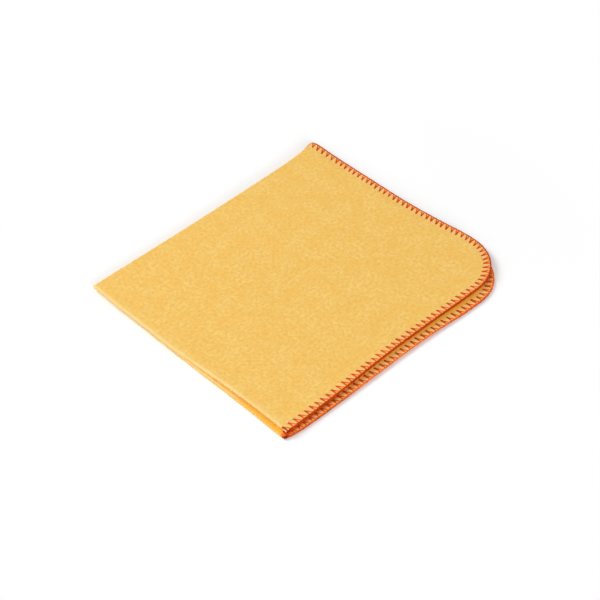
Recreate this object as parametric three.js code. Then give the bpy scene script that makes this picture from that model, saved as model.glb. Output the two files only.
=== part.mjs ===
// A dusting cloth folded in quarters: one sheet of brushed cotton, overlocked all round its edge
// and folded twice. The second fold opens, so the sheet and its threads are given as the half that
// lies on the table and the half that lies on top of it.
//
// x runs from the second fold to the free edge, y from the first fold to the other free edge, z up.
import * as THREE from 'three';

// Driving dimensions of the cloth, in millimetres
const clothWidth = 500;           // laid flat, across the first fold
const clothLength = 446;          // laid flat, across the second fold
const overhang = 9;               // how far the lower half shows past the upper half
const pressedThickness = 0.5;     // the cloth under the stitches, its nap pressed flat
const firstFoldGap = 0.3;         // air between the two plies of one half
const secondFoldGap = 0.6;        // air between the two halves
const seamGap = 0.2;              // between the halves where they meet round the second fold

// How each half strays from a rectangle, as the hand left it
const lowerOutline = {
  cornerRadius: 40,
  foldPull: 8.5,                  // the free edge draws back towards the first fold
  waist: 4.2,                     // and again near the middle of its run
  cornerBow: -1.5,                // the far edge next to the round corner
};
const upperOutline = {
  cornerRadius: 40,
  foldPull: 0,
  waist: 2,
  cornerBow: 5.5,
};

// Share of the run from the first fold to the round corner, with the shares of the pull and the waist
const freeEdgeShares = [
  [0, 1, 0],
  [0.03, 0.8, 0],
  [0.07, 0.66, 0],
  [0.12, 0.58, 0.03],
  [0.24, 0.45, 0.15],
  [0.33, 0.3, 0.4],
  [0.42, 0.12, 0.75],
  [0.5, 0.03, 0.95],
  [0.58, 0, 1],
  [0.73, 0, 0.75],
  [0.82, 0, 0.43],
  [0.91, 0, 0.12],
  [1, 0, 0],
];

// Share of the run from the round corner to the second fold, with the share of the bow
const farEdgeShares = [
  [0, 1],
  [0.07, 1],
  [0.16, 0.7],
  [0.27, 0.36],
  [0.38, 0.1],
  [0.5, 0],
  [1, 0],
];

// The stitched band, in millimetres
const stitchPitch = 5.5;
const stitchDepth = 5.2;          // from the cut edge to the point of a stitch
const footShare = 0.6;            // how much of the pitch the two legs of a stitch span at the edge
const upperThreadWidth = 0.8;
const upperThreadThickness = 0.3; // the needle thread is as thick
const lowerThreadWidth = 0.6;
const lowerThreadThickness = 0.2;
const needleThreadWidth = 0.5;
const threadClearance = 0.1;      // between any thread and the cloth or its cut edge
const needleThreadInset = 0.3;    // between the points of the stitches and the needle thread
const bandMargin = 0.3;           // pressed nap past the needle thread
const bandSlope = 0.5;            // over which the nap rises again

// How finely the sheet is divided
const freeEdgeSteps = 10;
const cornerSteps = 8;
const farEdgeSteps = 6;
const firstFoldSteps = 4;
const secondFoldSteps = 3;

// Sizes that follow from those above
const quarterTurn = Math.PI / 2;
const napOverThreads = upperThreadThickness + lowerThreadThickness + 2 * threadClearance;
const plyThickness = pressedThickness + napOverThreads;
const firstFoldRadius = (plyThickness + firstFoldGap) / 2;
const firstFoldHeight = plyThickness + firstFoldGap / 2;
const firstFoldCentre = firstFoldRadius + plyThickness / 2;
const middleHeight = 2 * plyThickness + firstFoldGap + secondFoldGap / 2;
const secondFoldCentre = middleHeight - seamGap / 2;
const outerPlyRadius = secondFoldCentre - plyThickness / 2;
const foldedWidth = firstFoldCentre + (clothWidth - Math.PI * firstFoldRadius) / 2;
const bothLengths = clothLength + 2 * secondFoldCentre - Math.PI * outerPlyRadius;
const lowerLength = (bothLengths + overhang) / 2;
const upperLength = (bothLengths - overhang) / 2;
const bandFloor = stitchDepth + needleThreadInset + needleThreadWidth + bandMargin;
const bandTop = bandFloor + bandSlope;
const faceHeight = plyThickness / 2;
const faceThreadBase = faceHeight - upperThreadThickness;
const backThreadBase = faceHeight - lowerThreadThickness;
const faceFloor = faceThreadBase - threadClearance;
const backFloor = backThreadBase - threadClearance;

// Materials
const flannelette = new THREE.MeshStandardMaterial({ color: 0xf4c566, roughness: 0.95, metalness: 0 });
const redThread = new THREE.MeshStandardMaterial({ color: 0xb8401a, roughness: 0.7, metalness: 0 });
const yellowThread = new THREE.MeshStandardMaterial({ color: 0xeeb04c, roughness: 0.7, metalness: 0 });

// Where a point of the sheet lies in space. x and y are its place on a flat ply, turnA its angle
// round the first fold (down on the lower ply, up on the upper one), turnB its angle round the
// second fold, and lift its distance from the middle of the cloth towards the stitched face.
function sheetPoint(x, y, turnA, turnB, lift) {
  const reach = firstFoldRadius + lift;
  const plyY = y - reach * Math.cos(turnA);
  const plyZ = firstFoldHeight + reach * Math.sin(turnA);
  const drop = secondFoldCentre - plyZ;
  return new THREE.Vector3(x - drop * Math.sin(turnB), plyY, secondFoldCentre - drop * Math.cos(turnB));
}

// The cut edge of one ply in plan, from the first fold to the second, as places with the
// direction that leads into the cloth.
function plyEdge(length, outline) {
  const cornerX = length - outline.cornerRadius;
  const cornerY = foldedWidth + outline.cornerBow - outline.cornerRadius;
  const freeRun = cornerY - firstFoldCentre;
  const farRun = cornerX - secondFoldCentre;
  const freeEdge = new THREE.SplineCurve(freeEdgeShares.map(([along, pull, waist]) => new THREE.Vector2(
    length - pull * outline.foldPull - waist * outline.waist,
    firstFoldCentre + along * freeRun,
  )));
  const corner = new THREE.EllipseCurve(
    cornerX, cornerY, outline.cornerRadius, outline.cornerRadius, 0, quarterTurn,
  );
  const farEdge = new THREE.SplineCurve(farEdgeShares.map(([along, bow]) => new THREE.Vector2(
    cornerX - along * farRun,
    foldedWidth + bow * outline.cornerBow,
  )));
  const places = [];
  const runs = [[freeEdge, freeEdgeSteps], [corner, cornerSteps], [farEdge, farEdgeSteps]];
  for (const [curve, steps] of runs) {
    for (let step = places.length ? 1 : 0; step <= steps; step += 1) {
      const at = curve.getPointAt(step / steps);
      const along = curve.getTangentAt(step / steps);
      places.push({ x: at.x, y: at.y, inX: -along.y, inY: along.x });
    }
  }
  Object.assign(places[0], { inX: -1, inY: 0 });
  Object.assign(places[places.length - 1], { inX: 0, inY: -1 });
  return places;
}

// The whole cut edge of one half: along the lower ply, round the first fold, along the upper ply,
// and round the second fold at both ends.
function edgeStations(places) {
  const stations = [];
  const last = places[places.length - 1];
  const add = (place, turnA, turnB) => stations.push({ ...place, turnA, turnB });
  for (let step = secondFoldSteps; step > 0; step -= 1) {
    add(last, -quarterTurn, quarterTurn * step / secondFoldSteps);
  }
  for (const place of [...places].reverse()) {
    add(place, -quarterTurn, 0);
  }
  for (let step = 1; step < firstFoldSteps; step += 1) {
    add(places[0], quarterTurn * (2 * step / firstFoldSteps - 1), 0);
  }
  for (const place of places) {
    add(place, quarterTurn, 0);
  }
  for (let step = 1; step <= secondFoldSteps; step += 1) {
    add(last, quarterTurn, quarterTurn * step / secondFoldSteps);
  }
  return stations;
}

// A point in the stitched band, at a depth in from the cut edge
function bandPoint(station, depth, lift) {
  const x = station.x + depth * station.inX;
  const y = station.y + depth * station.inY;
  return sheetPoint(x, y, station.turnA, station.turnB, lift);
}

// The places of the plain field of one ply: rows of points blended between its four sides
function fieldPlaces(places) {
  const rows = freeEdgeSteps + cornerSteps / 2;
  const inner = places.map(({ x, y, inX, inY }) => new THREE.Vector2(x + bandTop * inX, y + bandTop * inY));
  const right = inner.slice(0, rows + 1);
  const top = inner.slice(rows).reverse();
  const heart = new THREE.Vector2(secondFoldCentre, firstFoldCentre);
  const [bottomEnd, farCorner, topStart] = [right[0], right[rows], top[0]];
  const rowShares = right.map((point) => (point.y - bottomEnd.y) / (farCorner.y - bottomEnd.y));
  const columnShares = top.map((point) => (point.x - topStart.x) / (farCorner.x - topStart.x));
  return rowShares.map((v, row) => columnShares.map((u, column) => {
    const left = heart.clone().lerp(topStart, v);
    const bottom = heart.clone().lerp(bottomEnd, u);
    const across = left.clone().lerp(right[row], u);
    const along = bottom.clone().lerp(top[column], v);
    const flat = bottom.lerp(topStart.clone().lerp(farCorner, u), v);
    return across.add(along).sub(flat);
  }));
}

// A closed mesh from points and faces; a half that lies upside down has its faces turned round
function meshFrom(name, points, faces, material, upsideDown) {
  const flat = [];
  for (const point of points) {
    flat.push(point.x, point.y, upsideDown ? 2 * middleHeight - point.z : point.z);
  }
  const index = faces.flatMap(([a, b, c]) => (upsideDown ? [a, c, b] : [a, b, c]));
  const geometry = new THREE.BufferGeometry();
  geometry.setAttribute('position', new THREE.Float32BufferAttribute(flat, 3));
  geometry.setIndex(index);
  geometry.computeVertexNormals();
  const mesh = new THREE.Mesh(geometry, material);
  mesh.name = name;
  return mesh;
}

// One half of the sheet: two plies joined round the first fold and turned up round the second
function clothHalf(name, places, upsideDown) {
  const points = [];
  const faces = [];

  // Each place is a pair of points: one on the stitched face, the next on the other face
  const addPair = (pointAt, up, down) => {
    points.push(pointAt(up), pointAt(-down));
    return points.length - 2;
  };
  const addRow = (row, turnA) => {
    const fieldPair = ({ x, y }, turnB) => (
      addPair((lift) => sheetPoint(x, y, turnA, turnB, lift), faceHeight, faceHeight)
    );
    const line = [];
    for (let step = secondFoldSteps; step > 0; step -= 1) {
      line.push(fieldPair(row[0], quarterTurn * step / secondFoldSteps));
    }
    return [...line, ...row.map((place) => fieldPair(place, 0))];
  };

  // Both faces of a patch whose corners go counterclockwise as the stitched face shows them
  const patch = (a, b, c, d) => {
    faces.push([a, b, c], [a, c, d]);
    faces.push([a + 1, c + 1, b + 1], [a + 1, d + 1, c + 1]);
  };
  const wall = (a, b) => {
    faces.push([a, a + 1, b + 1], [a, b + 1, b]);
  };

  // The field: the lower ply, the turn of the first fold, the upper ply
  const field = fieldPlaces(places);
  const lines = [...field].reverse().map((row) => addRow(row, -quarterTurn));
  for (let step = 1; step < firstFoldSteps; step += 1) {
    lines.push(addRow(field[0], quarterTurn * (2 * step / firstFoldSteps - 1)));
  }
  lines.push(...field.map((row) => addRow(row, quarterTurn)));
  for (let line = 0; line + 1 < lines.length; line += 1) {
    const near = lines[line];
    const far = lines[line + 1];
    for (let place = 0; place + 1 < near.length; place += 1) {
      patch(near[place], near[place + 1], far[place + 1], far[place]);
    }
  }

  // The stitched band round the three free sides of the field
  const firstLine = lines[0];
  const lastLine = lines[lines.length - 1];
  const border = [
    ...firstLine,
    ...lines.slice(1, -1).map((line) => line[line.length - 1]),
    ...[...lastLine].reverse(),
  ];
  const stations = edgeStations(places);
  const bandLine = (depth) => stations.map((station) => (
    addPair((lift) => bandPoint(station, depth, lift), faceFloor, backFloor)
  ));
  const floor = bandLine(bandFloor);
  const edge = bandLine(0);
  for (let at = 0; at + 1 < stations.length; at += 1) {
    patch(border[at], floor[at], floor[at + 1], border[at + 1]);
    patch(floor[at], edge[at], edge[at + 1], floor[at + 1]);
    wall(edge[at], edge[at + 1]);
  }

  // The end that meets the other half round the second fold
  const last = stations.length - 1;
  const foldEnd = [...lines].reverse().map((line) => line[0]);
  const ending = [edge[last], floor[last], ...foldEnd, floor[0], edge[0]];
  for (let at = 0; at + 1 < ending.length; at += 1) {
    wall(ending[at], ending[at + 1]);
  }
  return meshFrom(name, points, faces, flannelette, upsideDown);
}

// Distances along the cut edge, measured in the middle of the cloth
function edgeDistances(stations) {
  const distances = [0];
  for (let at = 1; at < stations.length; at += 1) {
    const step = bandPoint(stations[at], 0, 0).distanceTo(bandPoint(stations[at - 1], 0, 0));
    distances.push(distances[at - 1] + step);
  }
  return distances;
}

// Evenly spaced stitches between two distances along the edge
function stitchRow(start, end) {
  const count = Math.max(1, Math.round((end - start) / stitchPitch));
  const pitch = (end - start) / count;
  return Array.from({ length: count }, (_, stitch) => ({ centre: start + (stitch + 1 / 2) * pitch, pitch }));
}

// The upper looper thread: up one leg to the point of a stitch, down the other, along to the next
function upperLooperSections(start, end) {
  const outerDepth = threadClearance;
  const innerDepth = outerDepth + upperThreadWidth;
  return stitchRow(start, end).flatMap(({ centre, pitch }) => {
    const slope = footShare * pitch / 2 / stitchDepth;
    const legDepth = upperThreadWidth / Math.sin(Math.atan(slope));
    const outerFoot = (stitchDepth - legDepth - outerDepth) * slope;
    const innerFoot = (stitchDepth - innerDepth) * slope;
    return [
      { outer: [centre - outerFoot, outerDepth], inner: [centre - innerFoot, innerDepth] },
      { outer: [centre, stitchDepth - legDepth], inner: [centre, stitchDepth] },
      { outer: [centre + outerFoot, outerDepth], inner: [centre + innerFoot, innerDepth] },
    ];
  });
}

// The lower looper thread: a plain zigzag between the edge and the points of the stitches
function lowerLooperSections(start, end) {
  const outerDepth = threadClearance;
  const stitches = stitchRow(start, end);
  return stitches.flatMap(({ centre, pitch }, stitch) => {
    const slope = pitch / 2 / (stitchDepth - outerDepth);
    const legDepth = lowerThreadWidth / Math.sin(Math.atan(slope));
    const turn = centre + pitch / 2;
    const point = { outer: [centre, stitchDepth - legDepth], inner: [centre, stitchDepth] };
    const foot = { outer: [turn, outerDepth], inner: [turn, outerDepth + legDepth] };
    return stitch + 1 < stitches.length ? [point, foot] : [point];
  });
}

// The needle thread: one line beside the points of the stitches, with a section at every station
function needleSections(distances) {
  const outerDepth = stitchDepth + needleThreadInset;
  const innerDepth = outerDepth + needleThreadWidth;
  return distances.map((distance) => ({ outer: [distance, outerDepth], inner: [distance, innerDepth] }));
}

// A looper thread for the whole edge: stitches on both plies, and straight runs over the folds
function looperSections(distances, width, stitchSections) {
  const last = distances.length - 1;
  const plyStations = (last - firstFoldSteps) / 2;
  const runs = (from, to) => distances.slice(from, to + 1).map((distance) => ({
    outer: [distance, threadClearance],
    inner: [distance, threadClearance + width],
  }));
  const lowerEnd = plyStations;
  const upperStart = plyStations + firstFoldSteps;
  const upperEnd = last - secondFoldSteps;
  return [
    ...runs(0, secondFoldSteps),
    ...stitchSections(distances[secondFoldSteps], distances[lowerEnd]),
    ...runs(lowerEnd, upperStart),
    ...stitchSections(distances[upperStart], distances[upperEnd]),
    ...runs(upperEnd, last),
  ];
}

// A three-sided thread in the band: every section has an outer side, an inner side and a ridge.
// side is 1 on the stitched face of the cloth and -1 on the other face.
function threadMesh(name, stations, distances, sections, side, material, upsideDown) {
  const base = side > 0 ? faceThreadBase : backThreadBase;
  const pointAt = (distance, depth, lift) => {
    const next = distances.findIndex((value) => value > distance);
    const at = next < 0 ? distances.length - 1 : next;
    const share = (distance - distances[at - 1]) / (distances[at] - distances[at - 1]);
    const before = bandPoint(stations[at - 1], depth, lift);
    return before.lerp(bandPoint(stations[at], depth, lift), share);
  };
  const points = [];
  const faces = [];
  for (const { outer, inner } of sections) {
    points.push(pointAt(...outer, side * base));
    points.push(pointAt(...inner, side * base));
    points.push(pointAt((outer[0] + inner[0]) / 2, (outer[1] + inner[1]) / 2, side * faceHeight));
  }
  for (let at = 0; at + 3 < points.length; at += 3) {
    for (let corner = 0; corner < 3; corner += 1) {
      const a = at + corner;
      const b = at + (corner + 1) % 3;
      faces.push([a, b, b + 3], [a, b + 3, a + 3]);
    }
  }
  const end = points.length - 3;
  faces.push([0, 2, 1], [end, end + 1, end + 2]);
  const outward = side > 0 ? faces : faces.map(([a, b, c]) => [a, c, b]);
  return meshFrom(name, points, outward, material, upsideDown);
}

// One half with its cloth and its three threads
function buildHalf(name, length, outline, upsideDown) {
  const places = plyEdge(length, outline);
  const stations = edgeStations(places);
  const distances = edgeDistances(stations);
  const upperLooper = looperSections(distances, upperThreadWidth, upperLooperSections);
  const lowerLooper = looperSections(distances, lowerThreadWidth, lowerLooperSections);
  const thread = (title, sections, side, material) => threadMesh(
    `${name}_${title}`, stations, distances, sections, side, material, upsideDown,
  );
  const half = new THREE.Group();
  half.add(clothHalf(`${name}_cloth`, places, upsideDown));
  half.add(thread('upper_looper_thread', upperLooper, 1, redThread));
  half.add(thread('lower_looper_thread', lowerLooper, -1, redThread));
  half.add(thread('needle_thread', needleSections(distances), 1, yellowThread));
  return half;
}

// The origin is under the middle of the folded cloth
const farthest = foldedWidth + Math.max(lowerOutline.cornerBow, upperOutline.cornerBow);
const duster = new THREE.Group();
duster.add(buildHalf('lower_half', lowerLength, lowerOutline, false));
duster.add(buildHalf('upper_half', upperLength, upperOutline, true));
duster.position.set(-lowerLength / 2, -farthest / 2, 0);

export default duster;
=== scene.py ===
import math

import bpy
import numpy as np
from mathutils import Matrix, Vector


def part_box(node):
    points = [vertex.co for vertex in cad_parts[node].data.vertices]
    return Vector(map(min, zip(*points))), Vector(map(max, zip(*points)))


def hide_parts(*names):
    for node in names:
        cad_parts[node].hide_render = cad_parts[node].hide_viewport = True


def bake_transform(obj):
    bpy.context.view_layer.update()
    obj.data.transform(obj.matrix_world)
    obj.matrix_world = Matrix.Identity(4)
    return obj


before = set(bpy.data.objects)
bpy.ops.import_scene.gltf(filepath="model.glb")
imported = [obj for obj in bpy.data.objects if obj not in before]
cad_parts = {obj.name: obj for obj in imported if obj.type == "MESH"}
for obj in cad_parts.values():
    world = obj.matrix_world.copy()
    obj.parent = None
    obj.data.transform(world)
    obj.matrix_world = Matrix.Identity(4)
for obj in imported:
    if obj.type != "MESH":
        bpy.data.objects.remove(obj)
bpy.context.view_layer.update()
bpy.ops.object.select_all(action="DESELECT")

# The camera stands off the near corner of the folded cloth, where the first fold meets the free
# edge, and looks down on it at about 45 degrees through a long lens.
LENS_MM = 108
SENSOR_MM = 36
CAMERA_PLACE = (0.7310, -0.7409, 1.0126)
CAMERA_TILT = math.radians(45.2)
CAMERA_TURN = math.radians(45)

bpy.ops.object.camera_add(location=CAMERA_PLACE, rotation=(CAMERA_TILT, 0, CAMERA_TURN))
camera = bpy.context.object
camera.name = "camera"
camera.data.lens = LENS_MM
camera.data.sensor_width = SENSOR_MM
bpy.context.scene.camera = camera
bpy.context.scene.view_settings.view_transform = "Standard"


# The table: a plain white sheet of card that the cloth lies on. It takes the cloth's soft shadow
# and runs out to white.
FLOOR_SIZE = 6
FLOOR_WHITE = "#f4f4f4"           # the card as it lights the cloth
FLOOR_SHADE = 1.08                # how pale it is in the picture, where it takes the shadow
FLOOR_FADE = (0.17, 0.26)         # where it runs out to plain white


def linear(hexadecimal):
    """The sRGB colour #rrggbb as the four linear numbers that a shader takes."""
    channels = [int(hexadecimal[at:at + 2], 16) / 255 for at in (1, 3, 5)]
    return [c / 12.92 if c <= 0.04045 else ((c + 0.055) / 1.055) ** 2.4 for c in channels] + [1]


def new_material(name):
    """A material without nodes."""
    material = bpy.data.materials.new(name)
    material.use_nodes = True
    material.node_tree.nodes.clear()
    return material


def add_node(owner, kind, settings=None, **links):
    """Adds a node, sets its properties and its sockets, and links what is a socket already. A socket
    goes by its name or its number: a colour mix has its share as in0, its colours as in6 and in7."""
    node = owner.node_tree.nodes.new(kind)
    for name, value in (settings or {}).items():
        setattr(node, name, value)
    for name, value in links.items():
        key = int(name[2:]) if name.startswith("in") and name[2:].isdigit() else name.replace("_", " ")
        if isinstance(value, bpy.types.NodeSocket):
            owner.node_tree.links.new(value, node.inputs[key])
        else:
            node.inputs[key].default_value = value
    return node


bpy.ops.mesh.primitive_plane_add(size=FLOOR_SIZE)
floor = bpy.context.object
floor.name = "table_top"
card = new_material("white card")
card_ray = add_node(card, "ShaderNodeLightPath")
card_seen = add_node(card, "ShaderNodeMath", {"operation": "MAXIMUM"},
                     in0=card_ray.outputs["Is Camera Ray"], in1=card_ray.outputs["Is Glossy Ray"])
card_matt = add_node(card, "ShaderNodeBsdfDiffuse", Color=linear(FLOOR_WHITE))
card_shaded = add_node(card, "ShaderNodeBsdfDiffuse", Color=[FLOOR_SHADE] * 3 + [1])
card_place = add_node(card, "ShaderNodeTexCoord")
card_distance = add_node(card, "ShaderNodeVectorMath", {"operation": "LENGTH"},
                         in0=card_place.outputs["Object"])
card_far = add_node(card, "ShaderNodeMapRange",
                    in0=card_distance.outputs["Value"], in1=FLOOR_FADE[0], in2=FLOOR_FADE[1])
card_blank = add_node(card, "ShaderNodeEmission", Color=(1, 1, 1, 1), Strength=1)
card_open = add_node(card, "ShaderNodeMixShader",
                     in0=card_far.outputs[0], in1=card_shaded.outputs[0], in2=card_blank.outputs[0])
card_mix = add_node(card, "ShaderNodeMixShader",
                    in0=card_seen.outputs[0], in1=card_matt.outputs[0], in2=card_open.outputs[0])
add_node(card, "ShaderNodeOutputMaterial", Surface=card_mix.outputs[0])
floor.data.materials.append(card)


# The light: a pale sky all round, one large soft lamp over the second fold, so that the soft shadow
# falls past the free edge, and a low one past the free edge that fills in the shade between the halves.
SKY_STRENGTH = 0.48
LAMP_SIZE = 0.9
LAMPS = {"soft_lamp": (20.5, (-1.4, -0.6, 1.25)), "fill_lamp": (19, (1.6, -0.5, 0.5))}

sky = bpy.data.worlds.new("pale sky")
bpy.context.scene.world = sky
sky.use_nodes = True
sky.node_tree.nodes.clear()
sky_ray = add_node(sky, "ShaderNodeLightPath")
sky_seen = add_node(sky, "ShaderNodeMath", {"operation": "MAXIMUM"},
                    in0=sky_ray.outputs["Is Camera Ray"], in1=sky_ray.outputs["Is Glossy Ray"])
sky_either = add_node(sky, "ShaderNodeMath", {"operation": "MAXIMUM"},
                      in0=sky_seen.outputs[0], in1=sky_ray.outputs["Is Transmission Ray"])
sky_light = add_node(sky, "ShaderNodeBackground", Color=(1, 1, 1, 1), Strength=SKY_STRENGTH)
sky_white = add_node(sky, "ShaderNodeBackground", Color=(1, 1, 1, 1), Strength=1)
sky_mix = add_node(sky, "ShaderNodeMixShader",
                   in0=sky_either.outputs[0], in1=sky_light.outputs[0], in2=sky_white.outputs[0])
add_node(sky, "ShaderNodeOutputWorld", Surface=sky_mix.outputs[0])

for lamp_name, (power, place) in LAMPS.items():
    bpy.ops.object.light_add(type="AREA", location=place)
    lamp = bpy.context.object
    lamp.name = lamp_name
    lamp.data.shape = "SQUARE"
    lamp.data.size = LAMP_SIZE
    lamp.data.energy = power
    lamp.rotation_euler = (-lamp.location).to_track_quat("-Z", "Y").to_euler()


# The cloth: one sheet of yellow flannelette, a plain cotton weave brushed to a short nap on both
# faces, cut with rounded corners. It is folded once across its width and once across its length.
# All its sizes are in millimetres, until a point is laid in space.
MM = 0.001
LOWER_REACH = 226.787             # from the second fold to the free edge of the lower half
UPPER_REACH = 217.787             # and of the upper half
PLY_REACH = 250.17                # from the first fold to the far edge
PLY_THICKNESS = 1.2
PLY_GAP = 0.3                     # air between the two plies of one half
HALF_GAP = 0.6                    # air between the two halves

# How the cut edge strays from a rectangle: the radius of its round corner, how far the free edge
# draws back at the first fold (pull) and in the middle (waist), and how far the far edge stands
# out next to the corner (bow). The ply next to the table draws back more than the one over it
LOWER_CUT = {"corner": 40, "pull": 8.5, "waist": 3.7, "bow": -1.5}
UNDER_CUT = {"corner": 40, "pull": 8.5, "waist": 5.0, "bow": -1.5}
UPPER_CUT = {"corner": 40, "pull": 0, "waist": 2.0, "bow": 4.9}
# A share of the free edge's run, from the first fold, with the shares of the pull and the waist
FREE_EDGE_SHARES = [[0, 1, 0], [0.03, 0.8, 0], [0.07, 0.66, 0], [0.12, 0.58, 0.03], [0.24, 0.45, 0.15],
                    [0.33, 0.3, 0.4], [0.42, 0.12, 0.75], [0.5, 0.03, 0.95], [0.58, 0, 1],
                    [0.73, 0, 0.75], [0.82, 0, 0.43], [0.91, 0, 0.12], [1, 0, 0]]
# A share of the far edge's run, from the corner, with the share of the bow
FAR_EDGE_SHARES = [[0, 1], [0.07, 0.9], [0.16, 0.52], [0.27, 0.16], [0.38, -0.08], [0.5, -0.18],
                   [0.83, -0.18], [0.94, -0.05], [1, 0]]
CORNER_STEPS = 33

# The stitches, whose course shapes the cloth between them too
FREE_EDGE_PITCH = 5.7             # from stitch to stitch along the free edge
FAR_EDGE_PITCH = 5.1              # and along the far edge, where the machine fed the cloth slower
MEAN_PITCH = 5.4
STITCH_DEPTH = 5.2                # from the cut edge to the needle line, along the free edge
FAR_EDGE_DEPTH_SHARE = 1.1        # how much deeper they reach round the corner and along the far edge
TURN_INTO_FAR_EDGE = (0.02, 0.4)  # where they grow deeper, by the square of the edge's direction
STITCH_START = 0.375              # how far through a stitch the seam starts, so that the second fold
                                  # comes between two legs
UPPER_LEGS = (0.1, 0.67)          # where the two legs of the upper looper reach the edge, in stitches
LOWER_LEGS = (0.05, -0.35)        # and those of the lower looper
UPPER_GATHER = 1.1                # the power by which the legs of a stitch lie closer than a plain
LOWER_GATHER = 1.55               # course has them, on the upper half and on the lower half
EDGE_SIGHT = 3.5                  # the edge's direction is taken over this distance either way

# Where the sheet is divided: depths in from the edge, and distances from each fold
BAND_DEPTHS = (0, 0.3, 0.8, 1.7, 2.7, 3.7, 4.5, 5.1, 5.8, 6.8)
STATIONS_PER_STITCH = 8
FIRST_FOLD_STATIONS = (0, 0.2, 0.4, 0.6, 0.8, 1.0, 1.18, 1.5, 2.0, 2.7)
SECOND_FOLD_STATIONS = (0, 0.018, 0.036, 0.056, 0.08, 0.11, 0.16, 0.24, 0.36, 0.52, 0.75, 1.05, 1.4,
                        1.85, 2.4, 3.05, 3.77, 5.0)
STATION_CLEARANCE = 0.3
MOST_STATIONS_BETWEEN = 20        # how many band stations can lie along one side of a field cell
ROWS_PER_PLY = 44
LOWER_COLUMNS = 40
UPPER_COLUMNS = 38

# How the folded stack lies: each bulge is how far a fold stands out, at distances along it
HOLLOW_SHARE = 0.1                # how far the stack is pressed in at its hollows
ROLL_FADE = (4, 70)               # the distances from the first fold over which its bulge dies out
LOWER_ROLL = [(0, -0.4), (10, -0.5), (20, -0.2), (40, 0.6), (60, 1.2), (80, 2.2), (120, 3.0),
              (170, 3.2), (200, 4.0), (230, 5.4)]
UPPER_ROLL = [(0, 2.0), (10, 1.8), (20, 2.5), (40, 2.9), (60, 2.9), (80, 3.5), (100, 3.3), (120, 2.4),
              (134, 1.6), (156, 0.7), (178, 0.3), (199, 0.4), (230, 1.1)]
CREASE_FADE = (0, 40)             # the distances from the second fold over which its bulge dies out
CREASE_BULGE = [(0, 2.2), (30, 1.7), (60, 1.0), (100, 0.3), (140, 0), (200, 0), (222, 0.7), (234, 1.6),
                (242, 3.1), (250, 4.8), (258, 5.4)]
CREASE_PULL = 2.4                 # how far the second fold draws the far edge in,
CREASE_PULL_REACH = 7             # within this distance of the fold,
CREASE_PULL_RUN = (228, 248)      # from here to here along it

first_radius = (PLY_THICKNESS + PLY_GAP) / 2
first_height = PLY_THICKNESS + PLY_GAP / 2
first_centre = first_radius + PLY_THICKNESS / 2
middle_height = 2 * PLY_THICKNESS + PLY_GAP + HALF_GAP / 2
first_roll = first_radius * math.pi / 2
second_radius = middle_height - PLY_THICKNESS / 2
second_roll = second_radius * math.pi / 2
lower_corner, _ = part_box("lower_half_cloth")
fold_x, fold_y = lower_corner.x / MM, lower_corner.y / MM


def smooth_step(value, start, end):
    """A smooth rise from 0 at the start to 1 at the end."""
    share = np.clip((value - start) / (end - start), 0, 1)
    return share * share * (3 - 2 * share)


def ridge(value, rise, fall):
    """1 between a rise and a fall, and 0 outside them."""
    return smooth_step(value, *rise) * (1 - smooth_step(value, *fall))


def hollows(x, y):
    """Between 0 and 1: how hard the stack is pressed at a place, in slow waves of 3.2 at most."""
    waves = (np.sin(x / 23 + 1.3) * np.sin(y / 31 + 0.4) + np.sin(x / 41 - y / 37 + 2.1)
             + 0.7 * np.sin(x / 17 + y / 19 + 0.9) + 0.5 * np.sin(x / 11 - y / 14 + 3.3))
    return 0.5 + waves / 6.4


def smooth_curve(knots, steps=12):
    """Points on the smooth curve through some knots."""
    knots = np.array(knots, float)
    ends = np.vstack([knots[:1], knots, knots[-1:]])
    share = np.arange(steps)[:, None] / steps
    runs = []
    for before, start, end, after in zip(ends, ends[1:], ends[2:], ends[3:]):
        leave, arrive = (end - before) / 2, (after - start) / 2
        runs.append((2 * start - 2 * end + leave + arrive) * share ** 3
                    + (3 * end - 3 * start - 2 * leave - arrive) * share ** 2 + leave * share + start)
    return np.vstack(runs + [knots[-1:]])


def bulge_at(x, knots):
    """How far a fold stands out, at a distance along it."""
    curve = smooth_curve(knots)
    return np.interp(x, curve[:, 0], curve[:, 1])


def laid(q, p, lift):
    """Where a point of the flat cloth lies once it is folded, in metres.
    q and p are its distances from the second and the first fold, and lift is its height over the
    middle of the cloth, towards the face that the upper looper runs on."""
    first_turn = np.clip(p / first_radius, -math.pi / 2, math.pi / 2)
    reach = first_radius + lift
    y = first_centre + np.maximum(np.abs(p) - first_roll, 0) - reach * np.cos(first_turn)
    height = first_height + reach * np.sin(first_turn)
    second_turn = np.clip(math.pi / 2 - q / second_radius, 0, math.pi)
    drop = middle_height - height
    x = middle_height + np.maximum(np.abs(q) - second_roll, 0) - drop * np.sin(second_turn)
    side = np.cos(second_turn)
    z = -drop * side * (1 - HOLLOW_SHARE * hollows(x, y))
    bulge = (1 + side) / 2 * bulge_at(x, LOWER_ROLL) + (1 - side) / 2 * bulge_at(x, UPPER_ROLL)
    crease = bulge_at(y, CREASE_BULGE) * (1 - smooth_step(x, *CREASE_FADE))
    pull = CREASE_PULL * np.clip(1 - x / CREASE_PULL_REACH, 0, 1) ** 2 * smooth_step(y, *CREASE_PULL_RUN)
    y = y - bulge * (1 - smooth_step(y, *ROLL_FADE)) - pull
    x = x - crease
    return np.stack([fold_x + x, fold_y + y, middle_height + z], -1) * MM


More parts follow.
